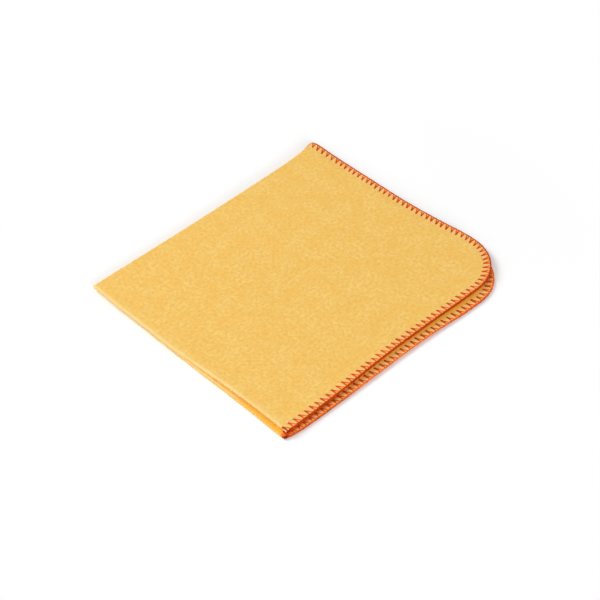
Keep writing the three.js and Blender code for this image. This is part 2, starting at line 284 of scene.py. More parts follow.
def quarter_edge(reach, cut):
    """The cut edge of one quarter of the flat cloth, from the first fold to the second."""
    corner_x = reach - cut["corner"]
    corner_y = PLY_REACH + cut["bow"] - cut["corner"]
    free = [(reach - pull * cut["pull"] - waist * cut["waist"],
             first_centre + along * (corner_y - first_centre)) for along, pull, waist in FREE_EDGE_SHARES]
    far = [(corner_x - along * (corner_x - middle_height), PLY_REACH + bow * cut["bow"])
           for along, bow in FAR_EDGE_SHARES]
    turns = np.linspace(0, math.pi / 2, CORNER_STEPS)[1:-1]
    corner = np.stack([corner_x + cut["corner"] * np.cos(turns),
                       corner_y + cut["corner"] * np.sin(turns)], -1)
    in_plan = np.vstack([smooth_curve(free), corner, smooth_curve(far)])
    flat = in_plan + [second_roll - middle_height, first_roll - first_centre]
    return np.vstack([[flat[0, 0], 0], flat, [0, flat[-1, 1]]])


# The whole cut edge, once round: the inner plies first, then the outer ones
lower_quarter = quarter_edge(LOWER_REACH, LOWER_CUT)
under_quarter = quarter_edge(LOWER_REACH, UNDER_CUT)
upper_quarter = quarter_edge(UPPER_REACH, UPPER_CUT)
edge_parts = [lower_quarter, upper_quarter[::-1] * [-1, 1],
              upper_quarter * [-1, -1], under_quarter[::-1] * [1, -1]]
edge_line = np.vstack([part[:-1] for part in edge_parts] + [edge_parts[0][:1]])
edge_steps = np.linalg.norm(np.diff(edge_line, axis=0), axis=1)
edge_at = np.concatenate([[0], np.cumsum(edge_steps)])
edge_length = edge_at[-1]
edge_along = np.diff(edge_line, axis=0) / edge_steps[:, None]
local_pitch = FAR_EDGE_PITCH * edge_along[:, 0] ** 2 + FREE_EDGE_PITCH * edge_along[:, 1] ** 2
edge_stitches = np.concatenate([[0], np.cumsum(edge_steps / local_pitch)])
stitch_count = round(edge_stitches[-1])
edge_stitches *= stitch_count / edge_stitches[-1]
deep_share = smooth_step(edge_along[:, 0] ** 2, *TURN_INTO_FAR_EDGE)
edge_depth_shares = 1 + (FAR_EDGE_DEPTH_SHARE - 1) * np.append(deep_share, deep_share[0])
part_ends = np.cumsum([0] + [np.linalg.norm(np.diff(part, axis=0), axis=1).sum() for part in edge_parts])


def on_edge(at):
    """A place on the cut edge, by its distance round it."""
    at = np.mod(at, edge_length)
    return np.stack([np.interp(at, edge_at, edge_line[:, axis]) for axis in (0, 1)], -1)


def stitch_at(at):
    """How many stitches lie before a distance round the edge."""
    return np.interp(np.mod(at, edge_length), edge_at, edge_stitches) + STITCH_START


def edge_at_stitch(stitches):
    """The distance round the edge at which so many stitches are done."""
    return np.interp(np.mod(stitches - STITCH_START, stitch_count), edge_stitches, edge_at)


def gather_at(at):
    """The power by which the legs of a stitch are gathered, at a distance round the edge."""
    on_lower = (np.mod(at, edge_length) < part_ends[1]) | (np.mod(at, edge_length) > part_ends[3])
    return np.where(on_lower, LOWER_GATHER, UPPER_GATHER)


def in_band(at, depth):
    """A place in the stitched band, by its distance round the edge and its depth in from it."""
    along = on_edge(at + EDGE_SIGHT) - on_edge(at - EDGE_SIGHT)
    along /= np.linalg.norm(along, axis=-1, keepdims=True)
    inward = np.stack([-along[..., 1], along[..., 0]], -1)
    depth_share = np.interp(np.mod(at, edge_length), edge_at, edge_depth_shares)
    depth = np.maximum(depth, 0) * depth_share + np.minimum(depth, 0)
    return on_edge(at) + inward * depth[..., None]


def distance_round(at, place):
    """How far some distances round the edge are from one of them, the shorter way."""
    return np.abs(np.mod(at - place + edge_length / 2, edge_length) - edge_length / 2)


def stations_round_edge():
    """Distances round the edge: eight to a stitch, and closer where a fold crosses the edge."""
    even = np.interp(np.arange(stitch_count * STATIONS_PER_STITCH) / STATIONS_PER_STITCH,
                     edge_stitches, edge_at)
    keep = np.ones(len(even), bool)
    extra = []
    for crossing, offsets in zip(part_ends[:4], [FIRST_FOLD_STATIONS, SECOND_FOLD_STATIONS] * 2):
        keep &= distance_round(even, crossing) > offsets[-1] + STATION_CLEARANCE
        extra += [crossing + side * offset for offset in offsets for side in (1, -1) if offset or side > 0]
    return np.sort(np.mod(np.concatenate([even[keep], extra]), edge_length))


# The band's places, row by row inwards
stations = stations_round_edge()
station_count = len(stations)
rows = len(BAND_DEPTHS)
inner_row = rows - 1
band_flat = np.stack([in_band(stations, np.full(station_count, depth)) for depth in BAND_DEPTHS],
                     1).reshape(-1, 2)


def station_near(at):
    """The number of the station nearest to a distance round the edge."""
    return int(np.argmin(distance_round(stations, at)))


def band_vertex(station, row):
    """The number of the band's vertex at a station, in a row."""
    return (station % station_count) * rows + row


def side_vertices(crossing, corner, offsets, cells, towards):
    """The band's inner vertices that the field shares, from a fold to the middle of a corner."""
    near = [station_near(crossing + towards * offset) for offset in offsets]
    start, end = near[-1], station_near(corner)
    span = (end - start) * towards % station_count
    further = [start + towards * round(span * cell / cells) for cell in range(1, cells + 1)]
    return [band_vertex(station, inner_row) for station in near + further]


# The field's grid in each quarter is blended between its two folds and its two cut edges
corners_at = []
for start, part in zip(part_ends, edge_parts):
    lengths = np.concatenate([[0], np.cumsum(np.linalg.norm(np.diff(part, axis=0), axis=1))])
    corners_at.append(start + lengths[np.argmax(np.abs(part).sum(1))])

flat_places = [band_flat]
field_index = {}
next_vertex = len(band_flat)
for quarter, (q_sign, p_sign) in enumerate([(1, 1), (-1, 1), (-1, -1), (1, -1)]):
    columns = LOWER_COLUMNS if q_sign > 0 else UPPER_COLUMNS
    outward = q_sign * p_sign
    first_crossing, second_crossing = part_ends[quarter:quarter + 2][::outward]
    corner = corners_at[quarter]
    right_index = side_vertices(first_crossing, corner, FIRST_FOLD_STATIONS, ROWS_PER_PLY, outward)
    top_index = side_vertices(second_crossing, corner, SECOND_FOLD_STATIONS, columns, -outward)
    right_flat, top_flat = band_flat[right_index], band_flat[top_index]
    far_p, free_q = abs(top_flat[0, 1]), abs(right_flat[0, 0])
    left_p = np.concatenate([FIRST_FOLD_STATIONS[:-1],
                             np.linspace(FIRST_FOLD_STATIONS[-1], far_p, ROWS_PER_PLY + 1)]) * p_sign
    bottom_q = np.concatenate([SECOND_FOLD_STATIONS[:-1],
                               np.linspace(SECOND_FOLD_STATIONS[-1], free_q, columns + 1)]) * q_sign
    left = np.stack([0 * left_p, left_p], -1)
    bottom = np.stack([bottom_q, 0 * bottom_q], -1)
    v = (left_p / left_p[-1])[:, None, None]
    u = (bottom_q / bottom_q[-1])[None, :, None]
    blended = ((1 - u) * left[:, None] + u * right_flat[:, None]
               + (1 - v) * bottom[None] + v * top_flat[None]
               - (u * (1 - v) * right_flat[0] + (1 - u) * v * top_flat[0] + u * v * right_flat[-1]))
    fresh = []
    for j in range(len(left_p)):
        for i in range(len(bottom_q)):
            key = (i * q_sign, j * p_sign)
            if i == len(bottom_q) - 1:
                field_index[key] = right_index[j]
            elif j == len(left_p) - 1:
                field_index[key] = top_index[i]
            elif key not in field_index:
                field_index[key] = next_vertex
                next_vertex += 1
                fresh.append(blended[j, i])
    flat_places.append(np.array(fresh))
flat = np.vstack(flat_places)
flat_q, flat_p = flat[:, 0], flat[:, 1]


def with_stations_between(start, end):
    """The band's inner vertices between two neighbours of the field's rim, on the shorter way."""
    if start % rows != inner_row or end % rows != inner_row or max(start, end) >= len(band_flat):
        return []
    for way in (1, -1):
        span = (end // rows - start // rows) * way % station_count
        if span <= MOST_STATIONS_BETWEEN:
            return [band_vertex(start // rows + way * step, inner_row) for step in range(1, span)]
    return []


# Faces of the flat sheet, counterclockwise as the looper's face shows them
sheet_faces = [[band_vertex(station, row), band_vertex(station + 1, row),
                band_vertex(station + 1, row + 1), band_vertex(station, row + 1)]
               for station in range(station_count) for row in range(inner_row)]
most_row = len(FIRST_FOLD_STATIONS) + ROWS_PER_PLY - 1
for j in range(-most_row, most_row):
    for i in range(-(len(SECOND_FOLD_STATIONS) + UPPER_COLUMNS - 1),
                   len(SECOND_FOLD_STATIONS) + LOWER_COLUMNS - 1):
        cell = [field_index[i, j], field_index[i + 1, j], field_index[i + 1, j + 1], field_index[i, j + 1]]
        outline = []
        for here, there in zip(cell, cell[1:] + cell[:1]):
            outline += [here] + with_stations_between(here, there)
        sheet_faces.append(outline)

# How thick the cloth is: pinched under the threads of the band, and swelling up between them
FULL_HALF = PLY_THICKNESS / 2
PRESSED_HALF = 0.33               # half the cloth's thickness under a thread
SWELL_RUN = 1.2                   # how far from a thread the cloth has swollen up
SWELL_POWER = 1.5                 # and how slowly that starts
BACK_SWELL = 0.8                  # how much it swells on the lower looper's face
ROUND_EDGE = (-0.5, 0.9)          # the depths over which it rises to that at the cut edge
NAP_RISE = (0.1, 1.5)             # and past the needle line, to the free nap
GROOVE = 0.55                     # how deep the needle thread presses in
GROOVE_HALF = 0.5
EDGE_PINCH = 0.35                 # how much thinner the cloth is at the cut edge itself,
EDGE_PINCH_DEPTH = 0.6            # to this depth
RIM_STANDS_OUT = 0.15             # the cut edge's middle, past its two faces
FOLD_SWELL = 0.15                 # how much the nap fills out inside the turn of the first fold,
FOLD_SWELL_RUN = ((-0.3, 0.8), (1.5, 4))
BAND_SINK = 0.28                  # the band lies this far in from its ply's middle, under other plies,
TOP_BAND_SINK = 0.1               # and this far where nothing lies on it
TOP_SINK_RUN = (0, 8)             # the change comes over these distances from the second fold
FOLD_SINK_RUN = (0.3, 2.5)        # and these from the first
DEEP_IN = 20.0                    # past the band

depth_of = np.full(len(flat), DEEP_IN)
at_of = np.zeros(len(flat))
depth_of[:len(band_flat)] = np.tile(BAND_DEPTHS, station_count)
at_of[:len(band_flat)] = np.repeat(stations, rows)


def stitch_phase(at):
    """How far through a stitch's plain course a distance round the edge is."""
    return np.mod(stitch_at(at), 1) ** (1 / gather_at(at))


def swelling(at, depth, legs):
    """Between 0 and 1: how far the cloth stands up beside a looper's two legs."""
    share = np.clip(1 - depth / STITCH_DEPTH, 0, 1)
    away = np.min([np.abs(np.mod(stitch_phase(at) - leg * share + 0.5, 1) - 0.5) for leg in legs], axis=0)
    across = np.clip(away * MEAN_PITCH / SWELL_RUN, 0, 1)
    return np.sin(across * math.pi / 2) ** SWELL_POWER


def between_legs(at, depth, legs):
    """1 between the two legs of a looper's stitch and 0 outside them."""
    share = np.clip(1 - depth / STITCH_DEPTH, 0, 1)
    return (np.mod(stitch_phase(at) - legs[0] * share, 1) < (legs[1] - legs[0]) * share).astype(float)


def band_sink(places):
    """How far in from its ply's middle the band lies, so that threads on facing plies stay apart."""
    on_top = smooth_step(-places[:, 0], *TOP_SINK_RUN) * smooth_step(-places[:, 1], *FOLD_SINK_RUN)
    near_fold = 1 - smooth_step(np.abs(places[:, 1]), *FOLD_SINK_RUN)
    return BAND_SINK + (TOP_BAND_SINK - BAND_SINK) * np.maximum(on_top, near_fold)


free_nap = smooth_step(depth_of, STITCH_DEPTH + NAP_RISE[0], STITCH_DEPTH + NAP_RISE[1])
groove = 1 - GROOVE * np.exp(-((depth_of - STITCH_DEPTH) / GROOVE_HALF) ** 2)
rounded = smooth_step(depth_of, *ROUND_EDGE)
face_swell = swelling(at_of, depth_of, UPPER_LEGS) * groove * rounded
back_swell = swelling(at_of, depth_of, LOWER_LEGS) * groove * rounded * BACK_SWELL
face_half = PRESSED_HALF + (FULL_HALF - PRESSED_HALF) * np.maximum(face_swell, free_nap)
face_half += FOLD_SWELL * ridge(flat_p, *FOLD_SWELL_RUN)
back_half = PRESSED_HALF + (FULL_HALF - PRESSED_HALF) * np.maximum(back_swell, free_nap)
sink = band_sink(flat) * (1 - smooth_step(depth_of, STITCH_DEPTH, BAND_DEPTHS[-1]))
pinch = 1 - EDGE_PINCH * (1 - smooth_step(depth_of, 0, EDGE_PINCH_DEPTH))
face_points = laid(flat_q, flat_p, face_half * pinch - sink)
back_points = laid(flat_q, flat_p, -back_half * pinch - sink)
rim_flat = in_band(stations, np.full(station_count, -RIM_STANDS_OUT))
rim_points = laid(rim_flat[:, 0], rim_flat[:, 1], -band_sink(rim_flat))

layer = len(flat)
cloth_faces = [list(face) for face in sheet_faces]
cloth_faces += [[vertex + layer for vertex in reversed(face)] for face in sheet_faces]
for station in range(station_count):
    here, there = band_vertex(station, 0), band_vertex(station + 1, 0)
    rim_here, rim_there = 2 * layer + station, 2 * layer + (station + 1) % station_count
    cloth_faces.append([there, here, rim_here, rim_there])
    cloth_faces.append([rim_there, rim_here, here + layer, there + layer])


def add_piece(name, points, faces, smooth):
    """A piece from its points in metres and its faces."""
    mesh = bpy.data.meshes.new(name)
    mesh.from_pydata(points.tolist(), [], faces)
    mesh.polygons.foreach_set("use_smooth", [smooth] * len(mesh.polygons))
    piece = bpy.data.objects.new(name, mesh)
    bpy.context.collection.objects.link(piece)
    return piece


def add_attribute(mesh, name, values):
    """A number at every vertex, for the material."""
    mesh.attributes.new(name, "FLOAT", "POINT").data.foreach_set("value", values)


cloth = add_piece("duster_cloth", np.vstack([face_points, back_points, rim_points]), cloth_faces, True)
cloth_mesh = cloth.data

# The flat cloth in metres is the UV map, so that weave and nap follow the sheet over its folds
flat_uv = np.vstack([flat, flat, rim_flat]) * MM
corner_vertices = np.zeros(len(cloth_mesh.loops), int)
cloth_mesh.loops.foreach_get("vertex_index", corner_vertices)
cloth_mesh.uv_layers.new(name="flat_cloth").data.foreach_set("uv", flat_uv[corner_vertices].ravel())

# How far each place of the lower half's top ply lies past the upper half's edge above it
FAR_FROM_EDGE = 12
on_lower_top = np.where((flat_q > 0) & (flat_p > 0))[0]
upper_line = np.stack([np.interp(np.arange(0, len(upper_quarter) - 1, 0.1), np.arange(len(upper_quarter)),
                                 upper_quarter[:, axis]) for axis in (0, 1)], -1)
place_turn = np.arctan2(flat_p[on_lower_top], flat_q[on_lower_top])
line_turn, line_reach = np.arctan2(upper_line[:, 1], upper_line[:, 0]), np.linalg.norm(upper_line, axis=1)
outside = np.sign(np.linalg.norm(flat[on_lower_top], axis=1) - np.interp(place_turn, line_turn, line_reach))
past_edge = np.full(len(flat), float(-FAR_FROM_EDGE))
past_edge[on_lower_top] = outside * np.array([np.linalg.norm(upper_line - place, axis=1).min()
                                              for place in flat[on_lower_top]]).clip(0, FAR_FROM_EDGE)

# The band takes a tint from its red thread, most inside a stitch. Over the whole band it is paler than
# the nap, which is partly that tint and partly a painted highlight on the cloth swelling between the
# threads, and the cells that swell up past the upper half's edge are painted paler still, as painted
# light in that edge's shade. Deep orange painted shade lies where the first fold turns on itself and
# just past that edge, red painted shade along that edge, for the shade and red light between the
# threads, and a painted highlight along the turn's crest and the strip below it. A RUN is the
# distances from the fold or edge over which a mark comes and goes, an ALONG those along the fold
BAND_END = (-0.6, 0.8)            # past the needle line
TURN_RUN = ((-0.2, 1.5), (2, 9))
TURN_ALONG = (130, 195)
EDGE_SHADE_MOST = 0.9
EDGE_SHADE_RUN = (-4, 0.5)
RED_SHADE_PLACE = -0.3                  # past the upper half's edge
RED_SHADE_SHARES = (0.25, 0.6)          # how strong the painted red shade is, and how much stronger in the band
RED_SHADE_RUN = (0.4, 2.4)
RED_SHADE_WIDER = (0.6, 0.8)            # and how much further it runs there
CREST_RUN = ((-0.3, 0.7), (0.9, 3.4))
CREST_ALONG = (130, 190)
CREST_LOSS = 0.2
STRIP_RUN = ((-1, 0.5), (3, 8))
STRIP_ALONG = (110, 180)
STRIP_MOST = 0.8
CELL_LIGHT_RUN = (-2.5, 0.5)
# The band's tint: partly the red thread's fibres over the cloth, partly a painted highlight on the swelling
# cloth
band_share = 1 - smooth_step(depth_of, STITCH_DEPTH + BAND_END[0], STITCH_DEPTH + BAND_END[1])
face_inside = between_legs(at_of, depth_of, UPPER_LEGS) * band_share
# Painted shade: deep orange where the first fold turns on itself and just past the upper half's edge
turn_shade_share = ridge(flat_p, *TURN_RUN) * smooth_step(np.abs(flat_q), *TURN_ALONG)
edge_shade_share = EDGE_SHADE_MOST * smooth_step(past_edge, *EDGE_SHADE_RUN) * (1 - band_share)
# Painted shade: red along the upper half's edge, for the shade and red light between the threads there
red_shade_start, red_shade_end = (run + wider * band_share for run, wider in zip(RED_SHADE_RUN, RED_SHADE_WIDER))
red_shade_share = ((RED_SHADE_SHARES[0] + RED_SHADE_SHARES[1] * band_share)
             * (1 - smooth_step(np.abs(past_edge - RED_SHADE_PLACE), red_shade_start, red_shade_end)))
# Painted highlight: pale along the first fold's crest and on the strip below it
crest_highlight = ridge(-flat_p, *CREST_RUN) * (1 - CREST_LOSS * smooth_step(-flat_q, *CREST_ALONG))
strip_highlight = STRIP_MOST * ridge(flat_p, *STRIP_RUN) * (1 - smooth_step(np.abs(flat_q), *STRIP_ALONG))
# Painted light: the cells past the upper half's edge are made paler, as though lit in that edge's shade
open_cell = band_share * (1 - face_inside) * smooth_step(past_edge, *CELL_LIGHT_RUN)
for mark, share, at_rim in (("stitched", band_share, 1), ("inside_stitch", face_inside, 1),
                            ("pressed_nap", np.maximum(turn_shade_share, edge_shade_share), 0),
                            ("dye_mark", red_shade_share, 0), ("open_cell", open_cell, 0),
                            ("open_nap", np.maximum(crest_highlight, strip_highlight), 0)):
    add_attribute(cloth_mesh, mark, np.concatenate([share, share, np.full(station_count, at_rim)]))

# Flannelette: cotton yarn dyed yellow, woven plain at about 20 threads to the centimetre and then
# brushed, which gives a matt face with a soft mottle, short fibres and a faint glow at the edges.
# The threads are too fine to show from a metre away, so they are drawn at twice their spacing
THREAD_SPACING = 1.0 * MM
TUFT_SIZE = 2.6 * MM
CLOUD_SIZE = 14 * MM
FIBRE_SIZE = 0.5 * MM
WAVE_UNIT = math.pi / 10          # the wavelength of the wave texture at scale 1
# Each mark with how far it turns the nap's colour, and into which: the thread's tint, painted highlights and
# painted shade
MARKS = (("stitched", 0.78, "#ffc47c"), ("inside_stitch", 0.35, "#f8783a"), ("pressed_nap", 0.8, "#ffb424"),
         ("open_nap", 0.5, "#ffe8a8"), ("open_cell", 0.85, "#ffc070"), ("dye_mark", 1, "#f4580c"))
flannelette = new_material("brushed cotton flannelette")
flat_place = add_node(flannelette, "ShaderNodeUVMap", {"uv_map": "flat_cloth"}).outputs[0]
tufts, clouds, fibres = (
    add_node(flannelette, "ShaderNodeTexNoise", {"noise_dimensions": "2D"}, Vector=flat_place,
             Scale=1 / size, Detail=2, Roughness=roughness, Distortion=distortion)
    for size, roughness, distortion in ((TUFT_SIZE, 0.5, 0.4), (CLOUD_SIZE, 0.5, 0), (FIBRE_SIZE, 0.7, 2)))
warp, weft = (add_node(flannelette, "ShaderNodeTexWave", {"bands_direction": direction}, Vector=flat_place,
                       Scale=WAVE_UNIT / THREAD_SPACING, Distortion=1.5, Detail=1) for direction in "XY")
tuft_share = add_node(flannelette, "ShaderNodeMapRange", in0=tufts.outputs["Fac"], in1=0.3, in2=0.7)
cloud_share = add_node(flannelette, "ShaderNodeMapRange",
                       in0=clouds.outputs["Fac"], in1=0.35, in2=0.65, in4=0.4)
colour_shares = [(tuft_share, "#fdd476"), (cloud_share, "#f6bc50")]
for mark, most, colour in MARKS:
    marked = add_node(flannelette, "ShaderNodeAttribute", {"attribute_name": mark})
    colour_shares.append((add_node(flannelette, "ShaderNodeMath", {"operation": "MULTIPLY"},
                                   in0=marked.outputs["Fac"], in1=most), colour))
nap_colour = linear("#f3c064")
for share, colour in colour_shares:
    nap_colour = add_node(flannelette, "ShaderNodeMix", {"data_type": "RGBA"}, in0=share.outputs[0],
                          in6=nap_colour, in7=linear(colour)).outputs[2]
weave_height = add_node(flannelette, "ShaderNodeMath", {"operation": "MULTIPLY"},
                        in0=warp.outputs["Fac"], in1=weft.outputs["Fac"])
nap_height = add_node(flannelette, "ShaderNodeMath", {"operation": "MULTIPLY_ADD"},
                      in0=tufts.outputs["Fac"], in1=1.6, in2=fibres.outputs["Fac"])
cloth_height = add_node(flannelette, "ShaderNodeMath", {"operation": "MULTIPLY_ADD"},
                        in0=weave_height.outputs[0], in1=0.35, in2=nap_height.outputs[0])
nap_bump = add_node(flannelette, "ShaderNodeBump", Strength=0.42, Distance=0.16 * MM,
                    Height=cloth_height.outputs[0])
flannelette_body = add_node(flannelette, "ShaderNodeBsdfPrincipled", Base_Color=nap_colour, Roughness=0.9,
                            Specular_IOR_Level=0.2, Sheen_Weight=0.2, Sheen_Roughness=0.45,
                            Sheen_Tint=linear("#ffdc9c"), Normal=nap_bump.outputs[0])
add_node(flannelette, "ShaderNodeOutputMaterial", Surface=flannelette_body.outputs[0])
cloth_mesh.materials.append(flannelette)

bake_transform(cloth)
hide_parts("lower_half_cloth", "upper_half_cloth")


# The nap on the folds: loose ends of cotton fibre that stand up where the cloth turns, and make its
# outline soft. They are drawn thicker and fewer than they are, because real ones are too fine to show.
FIBRE_COUNTS = {"first_fold": 17000, "second_fold": 9000}
FIBRE_HEIGHTS = (0.3, 2.3)
FIBRE_SPREAD = (1.4, 3.2)         # how the heights are spread: most of them are short
FIBRE_LEAN = 0.9                  # how far a fibre of the middle height leans over
FIBRE_MIDDLE_HEIGHT = 1.2
FIBRE_HALF = 0.055
FIBRE_ROOT = 0.45                 # the root's height over the middle of the cloth, just under its face
FIRST_FOLD_ENDS = (7, 15)         # how far they keep from its upper and its lower end,
PAST_TURN = 0.6                   # and how far past its turn they stand
SECOND_FOLD_END = 6               # how far they keep from its far end
BETWEEN_HALVES = 0.14             # no fibre comes this close to the height at which the halves part
ASKEW = [0.3, 0.5, 0.81]          # a direction that no fibre has

fibre_random = np.random.default_rng(11)
fibre_count = sum(FIBRE_COUNTS.values())
along_first = np.arange(fibre_count) < FIBRE_COUNTS["first_fold"]
upper_end, lower_end = -UPPER_REACH + FIRST_FOLD_ENDS[0], LOWER_REACH - FIRST_FOLD_ENDS[1]
fibre_q = np.where(along_first, fibre_random.uniform(upper_end, lower_end, fibre_count),
                   fibre_random.uniform(-second_roll, second_roll, fibre_count))
fibre_p = np.where(
    along_first, fibre_random.uniform(-first_roll - PAST_TURN, first_roll + PAST_TURN, fibre_count),
    fibre_random.uniform(-PLY_REACH + SECOND_FOLD_END, 0, fibre_count))
fibre_rise = (FIBRE_HEIGHTS[0] + (FIBRE_HEIGHTS[1] - FIBRE_HEIGHTS[0])
              * fibre_random.beta(*FIBRE_SPREAD, fibre_count))
fibre_lean = (fibre_random.normal(0, FIBRE_LEAN, (fibre_count, 2))
              * (fibre_rise / FIBRE_MIDDLE_HEIGHT)[:, None])
fibre_root = laid(fibre_q, fibre_p, np.full(fibre_count, FIBRE_ROOT))
fibre_tip = laid(fibre_q + fibre_lean[:, 0], fibre_p + fibre_lean[:, 1], FULL_HALF + fibre_rise)
lowest = np.minimum(fibre_root[:, 2], fibre_tip[:, 2]) / MM
highest = np.maximum(fibre_root[:, 2], fibre_tip[:, 2]) / MM
on_upper = (lowest > middle_height + BETWEEN_HALVES) & (highest < 2 * middle_height)
on_lower = (highest < middle_height - BETWEEN_HALVES) & (lowest > 0)
fibre_root, fibre_tip = fibre_root[on_upper | on_lower], fibre_tip[on_upper | on_lower]
fibre_run = (fibre_tip - fibre_root) / np.linalg.norm(fibre_tip - fibre_root, axis=1, keepdims=True)
fibre_side = np.cross(fibre_run, ASKEW)
fibre_side /= np.linalg.norm(fibre_side, axis=1, keepdims=True)
fibre_other = np.cross(fibre_run, fibre_side)
fibre_corners = [fibre_root + FIBRE_HALF * MM * (math.cos(turn) * fibre_side + math.sin(turn) * fibre_other)
                 for turn in (0, 2 * math.pi / 3, 4 * math.pi / 3)]
fibre_points = np.stack(fibre_corners + [fibre_tip], 1).reshape(-1, 3)
fibre_starts = np.arange(len(fibre_root))[:, None, None] * 4
fibre_faces = (fibre_starts + np.array([[0, 1, 3], [1, 2, 3], [2, 0, 3], [2, 1, 0]])[None]).reshape(-1, 3)
fold_nap = add_piece("fold_nap", fibre_points, fibre_faces.tolist(), False)

# Cotton fibre: fine and pale, with a slight change of shade from place to place
FIBRE_SHADE_SIZE = 3 * MM
cotton_fibre = new_material("loose cotton fibre")
fibre_place = add_node(cotton_fibre, "ShaderNodeTexCoord").outputs["Object"]
fibre_shade = add_node(cotton_fibre, "ShaderNodeTexNoise", Scale=1 / FIBRE_SHADE_SIZE, Detail=2,
                       Vector=fibre_place)
fibre_colour = add_node(cotton_fibre, "ShaderNodeMix", {"data_type": "RGBA"}, in0=fibre_shade.outputs["Fac"],
                        in6=linear("#ffd98a"), in7=linear("#fff0c4"))
fibre_body = add_node(cotton_fibre, "ShaderNodeBsdfPrincipled", Base_Color=fibre_colour.outputs[2],
                      Roughness=0.8, Specular_IOR_Level=0.2)
add_node(cotton_fibre, "ShaderNodeOutputMaterial", Surface=fibre_body.outputs[0])
fold_nap.data.materials.append(cotton_fibre)
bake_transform(fold_nap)


# The upper looper thread: a bulky two-ply sewing thread, dyed red, that runs in from the cut edge
# to the needle line and out again once a stitch, and along the edge from stitch to stitch.
UPPER_HALF_SIZES = (0.56, 0.36)   # half its width and half its thickness, where its bulk is 1
UPPER_COURSE = [(0.1, 0.1, 0.32, 1.0, 0.65), (0.085, 0.9, 0.45, 1.1, 0.5), (0.02, 4.0, 0.44, 1.3, 0.8),
                (0.0, 5.1, 0.25, 1.5, 1), (0.07, 4.4, 0.42, 1.1, 0.9), (0.55, 0.95, 0.44, 0.85, 0.35),
                (0.64, 0.15, 0.36, 1.05, 0.5), (0.75, -0.3, 0.18, 1.25, 1), (0.95, -0.3, 0.18, 1.25, 1)]
THREAD_SIDES = 6
THREAD_STEPS = 2                  # how many points the path has from knot to knot,
FINE_STEPS = 28                   # and how many where the second fold crosses the edge,
FINE_REACH = 1.2                  # up to this many stitches from there
UNEVEN_LIMIT = 1.6                # how uneven the worst stitches are, in spreads
UP_SIGHT = 0.05                   # the height over which it is seen which way is up
OPEN_LEG_BULK = 1.2               # how much the legs swell up where no ply presses on them,
OPEN_LEG_SHADE = 0.25              # and how much deeper their colour is painted there, as shade
OPEN_LEG_DEPTH = 0.5              # a leg starts at this depth
OPEN_PURL_BULK = 0.75             # the purl there is drawn in under the edge,
OPEN_PURL_TONE = 0.4              # and pale, because it takes the light,
FOLD_END = 5                      # but stays deep this far from the first fold
FOLD_SHADE_TONE = 0.5                   # at the first fold the threads get a painted deep shade, which fades out over these distances from it and over these depths in from the edge
FOLD_SHADE_REACH = (1.5, 7)             # which fade out over these distances from it
FOLD_SHADE_DEPTHS = (0.8, 2.5)          # and over these depths in from the edge


def thread_path(knots, seed, spread):
    """The path of a thread for all the stitches round the edge, from its course in one stitch.
    A knot is a share of the stitch, a depth in from the edge, a lift, how bulky the thread is there
    and how deep its colour is painted, from a pale highlight to deep shade; the course closes on the next
    stitch."""
    knots = np.array(knots, float)
    course = np.vstack([knots[-1:] - [1, 0, 0, 0, 0], knots, knots[:2] + [1, 0, 0, 0, 0]])
    rough, fine = (smooth_curve(course, steps)[steps:-steps - 1] for steps in (THREAD_STEPS, FINE_STEPS))
    crossings = stitch_at(np.array([part_ends[1], part_ends[3]]))
    most = UNEVEN_LIMIT * spread
    uneven = np.random.default_rng(seed).normal(0, spread, (stitch_count, 3)).clip(-most, most)
    runs = []
    for stitch in range(stitch_count):
        course = (fine if np.abs(stitch + 0.5 - crossings).min() < FINE_REACH else rough).copy()
        gather = gather_at(edge_at_stitch(stitch + 0.5))
        whole = np.floor(course[:, 0])
        course[:, 0] = stitch + whole + (course[:, 0] - whole) ** gather
        course[:, 0] += uneven[stitch, 0] * np.clip(course[:, 1] / STITCH_DEPTH, 0, 1)
        course[:, 1] *= 1 + uneven[stitch, 1]
        course[:, 3] *= 1 + 2 * uneven[stitch, 2]
        runs.append(course)
    stitches, depth, lift, bulk, tone = np.vstack(runs).T
    at = edge_at_stitch(stitches)
    open_edge = at < part_ends[1]
    open_leg = open_edge & (depth > OPEN_LEG_DEPTH)
    open_purl = open_edge & (depth < 0) & (at > FOLD_END)
    bulk = bulk * np.where(open_leg, OPEN_LEG_BULK, 1) * np.where(open_purl, OPEN_PURL_BULK, 1)
    tone = (tone + OPEN_LEG_SHADE * open_leg).clip(0, 1) * np.where(open_purl, OPEN_PURL_TONE, 1)
    from_fold = np.min([at, np.abs(at - part_ends[2]), edge_length - at], axis=0)
    tone = tone + (FOLD_SHADE_TONE * (1 - smooth_step(from_fold, *FOLD_SHADE_REACH))
                   * (1 - smooth_step(depth, *FOLD_SHADE_DEPTHS)))
    return at, depth, lift, bulk, tone


